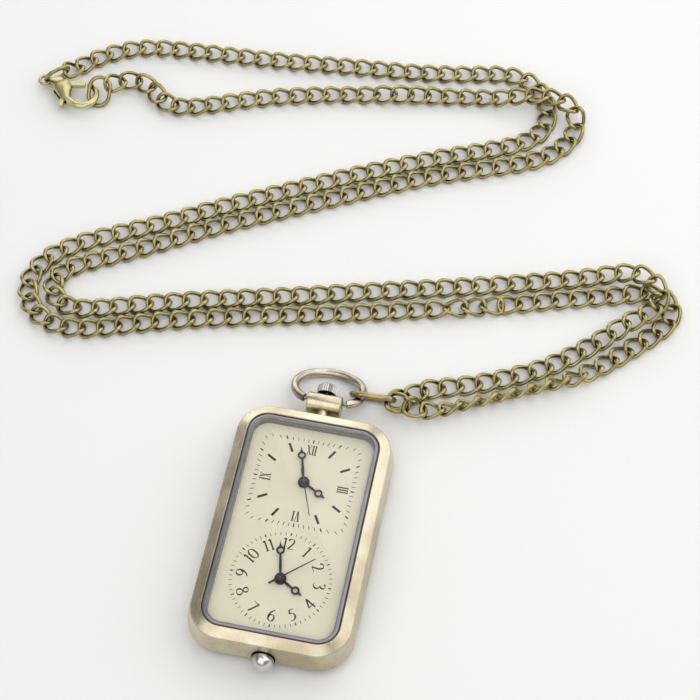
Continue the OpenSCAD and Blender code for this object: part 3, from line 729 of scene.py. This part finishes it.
@dataclass
class ClaspForm:
    """Smooth swelling clasp body that tapers into its hook, in millimetres from its eye.

    Each station of the body is a middle along X and Y, a half width and a half thickness.
    """

    place: Spot = (-72.2, 90.8, 1.7)
    turn: float = -10.6
    body: tuple[Station, ...] = (
        (1.0, 0.0, 0.45, 0.45), (1.7, 0.12, 1.05, 0.78), (2.6, 0.12, 1.7, 1.15),
        (3.6, -0.15, 2.05, 1.38), (4.5, -0.9, 1.95, 1.4), (5.2, -1.85, 1.55, 1.25),
        (5.95, -2.6, 1.16, 1.04), (6.85, -3.1, 0.88, 0.86),
    )
    hook_at: Point = (8.8, -0.6)
    hook_r: float = 2.85
    hook_wire: float = 0.62
    hook_root: float = 0.1
    hook_angles: tuple[float, ...] = (-105, -88, -70, -50, -30, -10, 10, 30, 50, 70, 90)
    smooth_steps: int = 5
    around: int = 24
    eye_r: float = 1.1
    eye_wire: float = 0.34
    eye_along: int = 40
    eye_around: int = 14
    slot_x: Point = (3.1, 6.8)
    slot_y: Point = (-5.2, 3.4)
    slot_z: Point = (-0.58, 0.58)
    sharp: float = 50.0

    def stations(self) -> list[Station]:
        """Follows the body, then the hook, which is thickest at its root.

        Returns:
            Middle, half width and half thickness at each station.
        """
        hook = []
        for angle in self.hook_angles:
            a = math.radians(angle)
            x = self.hook_at[0] + self.hook_r * math.cos(a)
            y = self.hook_at[1] + self.hook_r * math.sin(a)
            wire = self.hook_wire + self.hook_root * max(0.0, -angle) / -self.hook_angles[0]
            hook.append((x, y, wire, wire))
        return [*self.body, *hook]

    def swept(self) -> tuple[list[Spot], list[Face]]:
        """Runs an oval section along a smooth curve through the stations.

        Returns:
            Points and faces.
        """
        stops = self.stations()
        last = len(stops) - 1
        path: list[tuple[float, ...]] = []
        for i in range(last):
            four = (stops[min(max(k, 0), last)] for k in range(i - 1, i + 3))
            path += curve(four, self.smooth_steps)
        path.append(stops[last])
        points = []
        for i, (x, y, half, thick) in enumerate(path):
            along = heading(path, i)
            for k in range(self.around):
                a = 2 * math.pi * k / self.around
                side = half * math.cos(a)
                points.append((x - along.y * side, y + along.x * side, thick * math.sin(a)))
        return points, skin(len(path), self.around)

    def eye(self, first: int) -> tuple[list[Spot], list[Face]]:
        """Makes the round eye.

        Args:
            first: Number of its first point.

        Returns:
            Points and faces.
        """
        points = []
        for i in range(self.eye_along):
            a = 2 * math.pi * i / self.eye_along
            for k in range(self.eye_around):
                b = 2 * math.pi * k / self.eye_around
                r = self.eye_r + self.eye_wire * math.cos(b)
                points.append((r * math.cos(a), r * math.sin(a), self.eye_wire * math.sin(b)))
        return points, skin(self.eye_along, self.eye_around, first, closed=True, flip=True)

    def placed(self, points: Iterable[Spot]) -> list[Spot]:
        """Moves points from the clasp's own frame to the model's.

        Args:
            points: Points in millimetres.

        Returns:
            Points in metres.
        """
        turn = Matrix.Translation(Vector(self.place)) @ Matrix.Rotation(math.radians(self.turn), 4, "Z")
        return [tuple(turn @ Vector(point) * MM) for point in points]

    def cut_slot(self, obj: bpy.types.Object) -> None:
        """Cuts the slot that the thumb lever swings in.

        Args:
            obj: Clasp body.
        """
        corners = self.placed((x, y, z) for x in self.slot_x for y in self.slot_y for z in self.slot_z)
        sides = [(0, 1, 3, 2), (4, 6, 7, 5), (0, 4, 5, 1), (2, 3, 7, 6), (0, 2, 6, 4), (1, 5, 7, 3)]
        slot = mesh_object("clasp_slot", corners, sides)
        cut = obj.modifiers.new("slot", "BOOLEAN")
        cut.operation = "DIFFERENCE"
        cut.solver = "EXACT"
        cut.object = slot
        bpy.context.view_layer.update()
        evaluated = obj.evaluated_get(bpy.context.evaluated_depsgraph_get())
        finished = bpy.data.meshes.new_from_object(evaluated)
        obj.modifiers.clear()
        obj.data = finished
        bpy.data.objects.remove(slot)

    def build(self, wardrobe: Wardrobe) -> bpy.types.Object:
        """Makes the clasp body in place of the plain one.

        Args:
            wardrobe: Finishes.

        Returns:
            The clasp body.
        """
        points, faces = self.swept()
        eye_points, eye_faces = self.eye(len(points))
        obj = mesh_object("clasp_form", self.placed(points + eye_points), faces + eye_faces, smooth=True)
        self.cut_slot(obj)
        obj.data.set_sharp_from_angle(angle=math.radians(self.sharp))
        wardrobe.dress(obj, "clasp_brass")
        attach(obj, Body.CHAIN.value)
        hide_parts("clasp_body")
        return obj


@dataclass(frozen=True)
class RomanLetter:
    """Serifed letter as shares of its width: strokes from foot to top, and serifs from side to side."""

    width: float
    thick: Point
    thin: Point | None
    feet: tuple[Point, ...]
    tops: tuple[Point, ...]


ROMAN_LETTERS = {
    "I": RomanLetter(0.46, (0.5, 0.5), None, ((0, 1),), ((0, 1),)),
    "V": RomanLetter(1.0, (0.48, 0.2), (0.52, 0.82), (), ((-0.02, 0.42), (0.62, 1))),
    "X": RomanLetter(0.98, (0.8, 0.2), (0.18, 0.82), ((0, 0.4), (0.6, 1)), ((0, 0.4), (0.6, 1))),
}

PEN_STROKES: dict[str, list[list[Point]]] = {
    "0": [
        [(0.05, 0.5), (0.1, 0.82), (0.3, 0.98), (0.5, 0.82), (0.55, 0.5),
         (0.5, 0.18), (0.3, 0.02), (0.1, 0.18), (0.05, 0.5)],
    ],
    "1": [
        [(0.24, 0.98), (0.24, 0.0)],
        [(0.07, 0.86), (0.15, 0.91), (0.24, 0.98)],
        [(0.1, 0.02), (0.38, 0.02)],
    ],
    "2": [
        [(0.05, 0.76), (0.12, 0.91), (0.28, 0.98), (0.43, 0.91), (0.48, 0.74), (0.42, 0.54), (0.27, 0.32),
         (0.06, 0.06)],
        [(0.06, 0.05), (0.3, 0.07), (0.56, 0.04)],
    ],
    "3": [
        [(0.07, 0.84), (0.16, 0.95), (0.29, 0.98), (0.42, 0.9), (0.44, 0.75), (0.35, 0.6), (0.2, 0.53)],
        [(0.2, 0.53), (0.38, 0.5), (0.49, 0.36), (0.47, 0.17), (0.33, 0.04), (0.18, 0.01), (0.04, 0.06)],
    ],
    "4": [
        [(0.42, 0.99), (0.22, 0.64), (0.03, 0.3)],
        [(0.03, 0.29), (0.3, 0.29), (0.6, 0.29)],
        [(0.42, 0.99), (0.42, 0.5), (0.42, 0.0)],
    ],
    "5": [
        [(0.5, 0.97), (0.36, 0.94), (0.2, 0.95)],
        [(0.2, 0.95), (0.16, 0.76), (0.14, 0.58)],
        [(0.14, 0.58), (0.28, 0.61), (0.43, 0.52), (0.5, 0.34), (0.43, 0.13), (0.26, 0.01), (0.05, 0.01)],
    ],
    "6": [
        [(0.52, 0.99), (0.32, 0.88), (0.14, 0.66), (0.06, 0.38), (0.12, 0.13), (0.29, 0.02), (0.46, 0.12),
         (0.53, 0.32), (0.47, 0.51), (0.32, 0.6), (0.17, 0.52), (0.09, 0.38)],
    ],
    "7": [
        [(0.04, 0.94), (0.28, 0.92), (0.54, 0.95)],
        [(0.54, 0.95), (0.38, 0.5), (0.18, 0.0)],
    ],
    "8": [
        [(0.3, 0.55), (0.16, 0.65), (0.11, 0.79), (0.17, 0.93), (0.3, 0.98), (0.43, 0.93), (0.49, 0.79),
         (0.44, 0.65), (0.3, 0.55), (0.12, 0.42), (0.05, 0.25), (0.12, 0.07), (0.3, 0.01), (0.48, 0.07),
         (0.55, 0.25), (0.48, 0.42), (0.3, 0.55)],
    ],
    "9": [
        [(0.06, 0.01), (0.26, 0.12), (0.44, 0.34), (0.52, 0.62), (0.46, 0.87), (0.29, 0.98), (0.12, 0.88),
         (0.05, 0.68), (0.11, 0.49), (0.26, 0.4), (0.41, 0.48), (0.49, 0.62)],
    ],
}


@dataclass(frozen=True)
class BroadPen:
    """Broad pen that draws numerals one high, widest where it runs down the page."""

    thin: float = 0.045
    thick: float = 0.135
    slant: float = 12.0
    pressure: float = 1.4
    steps: int = 5
    digit_room: float = 0.64
    one_room: float = 0.46

    def room(self, digit: str) -> float:
        """Returns the room that a digit takes along its line."""
        return self.one_room if digit == "1" else self.digit_room

    def path(self, line: Sequence[Point]) -> list[Point]:
        """Runs a smooth curve through the points of a stroke.

        Args:
            line: Points of the stroke.

        Returns:
            The curve's points.
        """
        closed = line[0] == line[-1]
        path: list[Point] = []
        for i in range(len(line) - 1):
            before = line[i - 1] if i else (line[-2] if closed else line[0])
            after = line[i + 2] if i + 2 < len(line) else (line[1] if closed else line[-1])
            path += curve((before, line[i], line[i + 1], after), self.steps)
        return path + [line[-1]]

    def ink(self, line: Sequence[Point]) -> list[list[Point]]:
        """Gives a stroke the width of the pen.

        Args:
            line: Points of the stroke.

        Returns:
            Corners of each quad of the inked stroke.
        """
        lean = math.radians(self.slant)
        path = self.path(line)
        edges = []
        for i, (x, y) in enumerate(path):
            along = heading(path, i)
            press = abs(along.y * math.cos(lean) + along.x * math.sin(lean)) ** self.pressure
            half = 0.5 * (self.thin + (self.thick - self.thin) * press)
            dx, dy = -along.y * half, along.x * half
            edges.append(((x + dx, y + dy), (x - dx, y - dy)))
        return [[a[0], a[1], b[1], b[0]] for a, b in zip(edges, edges[1:])]


@dataclass
class DialPrint:
    """Tracks, batons and numerals printed on the dial, in millimetres."""

    upper: Point = (0.0, 9.15)
    lower: Point = (0.0, -9.7)
    track_x: float = 8.76
    track_y: float = 8.38
    track_corner: float = 1.6
    tick: float = 0.7
    tick_w: float = 0.12
    five_w: float = 0.24
    ring_r: float = 8.64
    ring_tick: float = 0.8
    ring_tick_w: float = 0.9
    baton: float = 1.84
    baton_w: float = 0.45
    baton_r: float = 7.5
    side_baton_r: float = 7.7
    roman_h: float = 1.94
    roman_r: float = 6.65
    side_roman_r: float = 7.0
    roman_thick: float = 0.25
    roman_thin: float = 0.09
    serif: float = 0.09
    numeral_h: float = 2.15
    numeral_r: float = 6.8
    pen: BroadPen = BroadPen()
    lift: float = 0.012
    polygons: list[list[Point]] = field(default_factory=list)

    @staticmethod
    def turned(p: Point, centre: Point, angle: float) -> Point:
        """Turns a point clockwise about the origin and moves it to a centre.

        Args:
            p: Point to turn.
            centre: Where the origin goes.
            angle: Degrees clockwise.

        Returns:
            The moved point.
        """
        c, s = math.cos(math.radians(angle)), math.sin(math.radians(angle))
        return (centre[0] + p[0] * c + p[1] * s, centre[1] - p[0] * s + p[1] * c)

    def bar(self, centre: Point, r: float, angle: float, length: float, width: float) -> None:
        """Adds a radial bar.

        Args:
            centre: Place of the hands.
            r: Distance of the bar's middle from the hands.
            angle: Degrees clockwise from the top.
            length: Length along the radius.
            width: Width across the radius.
        """
        x, near, far = width / 2, r - length / 2, r + length / 2
        corners = ((-x, near), (x, near), (x, far), (-x, far))
        self.polygons.append([self.turned(p, centre, angle) for p in corners])

    def track_reach(self, angle: float) -> float:
        """Measures the way out to the rounded square track.

        Args:
            angle: Degrees clockwise from the top.

        Returns:
            Distance of the track from the hands.
        """
        dx, dy = abs(math.sin(math.radians(angle))), abs(math.cos(math.radians(angle)))
        nearly_none = 1e-9
        r = min(self.track_x / max(dx, nearly_none), self.track_y / max(dy, nearly_none))
        x, y = self.track_x - self.track_corner, self.track_y - self.track_corner
        if r * dx > x and r * dy > y:
            b = dx * x + dy * y
            r = b + math.sqrt(max(b * b - x * x - y * y + self.track_corner ** 2, 0))
        return r

    def letter(self, form: RomanLetter, x: float) -> list[list[Point]]:
        """Draws one roman letter with its foot on the origin's level.

        Args:
            form: Letter to draw.
            x: Its left side.

        Returns:
            Corners of its strokes and serifs.
        """
        w, h = form.width, self.roman_h
        shapes: list[list[Point]] = []
        for stroke, pen in ((form.thick, self.roman_thick), (form.thin, self.roman_thin)):
            if stroke:
                foot, top = (x + w * share for share in stroke)
                half = pen / 2
                shapes.append([(foot - half, 0), (foot + half, 0), (top + half, h), (top - half, h)])
        for serifs, y in ((form.feet, 0), (form.tops, h - self.serif)):
            for serif in serifs:
                left, right = (x + w * share for share in serif)
                shapes.append([(left, y), (right, y), (right, y + self.serif), (left, y + self.serif)])
        return shapes

    def roman(self, text: str, r: float, angle: float) -> None:
        """Adds a roman numeral of the upper dial, with its top outward.

        Args:
            text: Numeral.
            r: Distance of its middle from the hands.
            angle: Degrees clockwise from the top.
        """
        forms = [ROMAN_LETTERS[c] for c in text]
        x = -sum(form.width for form in forms) / 2
        for form in forms:
            for shape in self.letter(form, x):
                raised = [(px, py - self.roman_h / 2 + r) for px, py in shape]
                self.polygons.append([self.turned(p, self.upper, angle) for p in raised])
            x += form.width

    def arabic(self, value: int, angle: float, facing: Facing) -> None:
        """Adds an arabic numeral of the lower dial, drawn with the broad pen.

        Args:
            value: Hour to write.
            angle: Degrees clockwise from the top.
            facing: Whether its top points away from the hands.
        """
        digits = str(value)
        half_height = 0.5
        x = -sum(self.pen.room(d) for d in digits) / 2
        middle = self.turned((0, self.numeral_r), self.lower, angle)
        for d in digits:
            for line in PEN_STROKES[d]:
                for quad in self.pen.ink([(x + px, py - half_height) for px, py in line]):
                    flat = [(px * self.numeral_h, py * self.numeral_h) for px, py in quad]
                    self.polygons.append([self.turned(p, middle, angle + facing.value) for p in flat])
            x += self.pen.room(d)

    def tracks(self) -> None:
        """Adds the minute marks of both dials."""
        for minute in range(60):
            angle = DEGREES_PER_MINUTE * minute
            width = self.tick_w if minute % 5 else self.five_w
            self.bar(self.upper, self.track_reach(angle), angle, self.tick, width)
            ring_tick = self.tick * self.ring_tick
            self.bar(self.lower, self.ring_r, angle, ring_tick, width * self.ring_tick_w)

    def hours(self) -> None:
        """Adds the batons and the numerals of both dials."""
        for hour in (1, 5, 7, 11):
            self.bar(self.upper, self.baton_r, DEGREES_PER_HOUR * hour, self.baton, self.baton_w)
        for hour in (2, 4, 8, 10):
            self.bar(self.upper, self.side_baton_r, DEGREES_PER_HOUR * hour, self.baton, self.baton_w)
        for text, hour in (("XII", 12), ("VI", 6)):
            self.roman(text, self.roman_r, DEGREES_PER_HOUR * hour)
        for text, hour in (("III", 3), ("IX", 9)):
            self.roman(text, self.side_roman_r, DEGREES_PER_HOUR * hour)
        for hour in range(1, 13):
            facing = Facing.INWARD if 4 <= hour <= 8 else Facing.OUTWARD
            self.arabic(hour, DEGREES_PER_HOUR * hour, facing)

    def build(self, dial: bpy.types.Object, wardrobe: Wardrobe) -> bpy.types.Object:
        """Prints the dial.

        Args:
            dial: Dial plate.
            wardrobe: Finishes.

        Returns:
            The print.
        """
        self.tracks()
        self.hours()
        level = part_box(dial.name)[1].z + self.lift * MM
        points: list[Spot] = []
        faces: list[Face] = []
        for shape in self.polygons:
            faces.append(tuple(range(len(points), len(points) + len(shape))))
            points += [(x * MM, y * MM, level) for x, y in shape]
        obj = mesh_object("dial_marks", points, faces)
        wardrobe.dress(obj, "dial_ink")
        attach(obj, Body.CASE.value)
        return obj


@dataclass
class MetalAndInside:
    """Finishes for the pieces whose own shape stays."""

    special: dict[str, str] = field(default_factory=lambda: {
        "bow": "bow_metal",
        "connecting_ring": "ring_brass",
        "clasp_lever": "clasp_brass",
        "clasp_pin": "clasp_brass",
    })

    def dress(self, nodes: dict[str, bpy.types.Object], record: dict, wardrobe: Wardrobe) -> int:
        """Dresses every node by its material slot.

        Args:
            nodes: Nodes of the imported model.
            record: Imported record, which names each node's slot.
            wardrobe: Finishes.

        Returns:
            Number of nodes dressed.
        """
        slots = {s["node"]: s["material_slot"] for s in record["subparts"]}
        for name, obj in nodes.items():
            wardrobe.dress(obj, self.special.get(name, slots[name]))
        return len(nodes)


@dataclass(frozen=True)
class Lamp:
    """Square soft lamp, with its place and side in millimetres and its power in watts."""

    name: str
    place: Spot
    size: float
    power: float
    colour: RGB = WHITE


@dataclass
class Studio:
    """Camera at the photograph's angle, soft lamps, a pale floor and a pale sky.

    Places are in millimetres. Each stop of the sky is a height from 0 at the horizon to 1 overhead and
    the colour that metal mirrors there.
    """

    eye: Spot = (37.36, -132.49, 298.43)
    target: Spot = (2.51, 37.63, 6.05)
    lens: float = 94.76
    sensor: float = 36.0
    clip: Point = (0.01, 10.0)
    lamps: tuple[Lamp, ...] = (
        Lamp("key", (230, 190, 300), 580, 1.28),
        Lamp("fill", (-60, -190, 360), 460, 0.82, (1.0, 0.99, 0.97)),
        Lamp("back", (-160, 420, 160), 440, 0.8),
    )
    lamp_target: Spot = (0, 30, 0)
    floor_half: float = 900.0
    floor_colour: RGB = (0.80, 0.80, 0.79)
    floor_shade: float = 0.98
    floor_roughness: float = 0.55
    floor_grain_scale: float = 900.0
    floor_grain_depth: float = 0.002 * MM
    sky_light: float = 0.42
    sky_stops: tuple[tuple[float, RGB], ...] = (
        (0.1, WHITE),
        (0.3, (0.55, 0.55, 0.5555)),
        (0.52, (0.2, 0.2, 0.202)),
        (0.78, (0.46, 0.46, 0.4646)),
        (0.95, (0.42, 0.42, 0.43)),
    )

    @staticmethod
    def stand(name: str, data: bpy.types.ID, place: Spot, target: Spot) -> bpy.types.Object:
        """Stands a camera or a lamp at a place and points it at a target.

        Args:
            name: Name of the object.
            data: Camera or lamp.
            place: Place in millimetres.
            target: What it points at, in millimetres.

        Returns:
            The new object.
        """
        obj = bpy.data.objects.new(name, data)
        start, end = Vector(place) * MM, Vector(target) * MM
        facing = (end - start).to_track_quat("-Z", "Y").to_matrix().to_4x4()
        obj.matrix_world = Matrix.Translation(start) @ facing
        bpy.context.scene.collection.objects.link(obj)
        return obj

    def camera(self) -> None:
        """Sets up the camera as the scene's own."""
        data = bpy.data.cameras.new("portrait")
        data.lens = self.lens
        data.sensor_width = self.sensor
        data.clip_start, data.clip_end = self.clip
        bpy.context.scene.camera = self.stand("portrait", data, self.eye, self.target)

    def light(self, lamp: Lamp) -> None:
        """Adds a lamp that points at the watch.

        Args:
            lamp: Lamp to add.
        """
        data = bpy.data.lights.new(lamp.name, "AREA")
        data.size = lamp.size * MM
        data.energy = lamp.power
        data.color = lamp.colour
        self.stand(lamp.name, data, lamp.place, self.lamp_target)

    def floor(self) -> None:
        """Lays the pale floor that the watch lies on."""
        h = self.floor_half * MM
        obj = mesh_object("floor", [(-h, -h, 0), (h, -h, 0), (h, h, 0), (-h, h, 0)], [(0, 1, 2, 3)])
        g = Graph("floor_paper")
        paper = g.noise(self.floor_grain_scale, detail=4.0)
        shaded = tuple(c * self.floor_shade for c in self.floor_colour)
        g.set(
            Base_Color=g.blend(paper, self.floor_colour, shaded),
            Roughness=self.floor_roughness,
            Normal=g.bump(paper, self.floor_grain_depth),
        )
        obj.data.materials.append(g.material)

    def sky(self) -> None:
        """Makes a sky that is white to the eye and has greyer stretches where metal mirrors it."""
        world = bpy.data.worlds.new("soft_sky")
        bpy.context.scene.world = world
        world.use_nodes = True
        g = NodeTree(world.node_tree)
        rays = g.node("ShaderNodeLightPath").outputs
        mirrored = rays["Is Glossy Ray"]
        direct = {0: rays["Is Camera Ray"], 1: rays["Is Transmission Ray"]}
        seen = g.node("ShaderNodeMath", direct, operation="MAXIMUM").outputs[0]
        full = g.node("ShaderNodeMath", {0: seen, 1: mirrored}, operation="MAXIMUM").outputs[0]
        strengths = {"Value": full, "To Min": self.sky_light, "To Max": 1.0}
        level = g.node("ShaderNodeMapRange", strengths).outputs[0]
        direction = g.node("ShaderNodeTexCoord").outputs["Generated"]
        height = g.node("ShaderNodeSeparateXYZ", {0: direction}).outputs["Z"]
        ramp = g.node("ShaderNodeValToRGB", {0: height})
        stops = ramp.color_ramp.elements
        first, *between, last = self.sky_stops
        for stop, (place, colour) in ((stops[0], first), (stops[1], last)):
            stop.position = place
            stop.color = (*colour, 1)
        for place, colour in between:
            stops.new(place).color = (*colour, 1)
        back = g.tree.nodes["Background"].inputs
        g.feed(back["Strength"], level)
        g.feed(back["Color"], g.blend(mirrored, WHITE, ramp.outputs[0]))

    def build(self) -> None:
        """Builds camera, lamps, floor and sky."""
        bpy.context.scene.view_settings.view_transform = "Standard"
        self.camera()
        for lamp in self.lamps:
            self.light(lamp)
        self.floor()
        self.sky()


def main() -> None:
    """Dresses the watch and its chain piece by piece."""
    logging.basicConfig(level=logging.INFO, format="%(name)s: %(message)s")
    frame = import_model()
    nodes = frame["nodes"]
    wardrobe = Wardrobe()
    Studio().build()
    LOG.info("dressed %d nodes", MetalAndInside().dress(nodes, frame["record"], wardrobe))
    for obj in CurbLinks().build(nodes, wardrobe):
        LOG.info("piece %s", obj.name)
    for obj in (PendantBlock().build(wardrobe), ClaspForm().build(wardrobe)):
        LOG.info("piece %s", obj.name)
    LOG.info("piece %s", DialPrint().build(nodes["dial"], wardrobe).name)


if __name__ == "__main__":
    main()
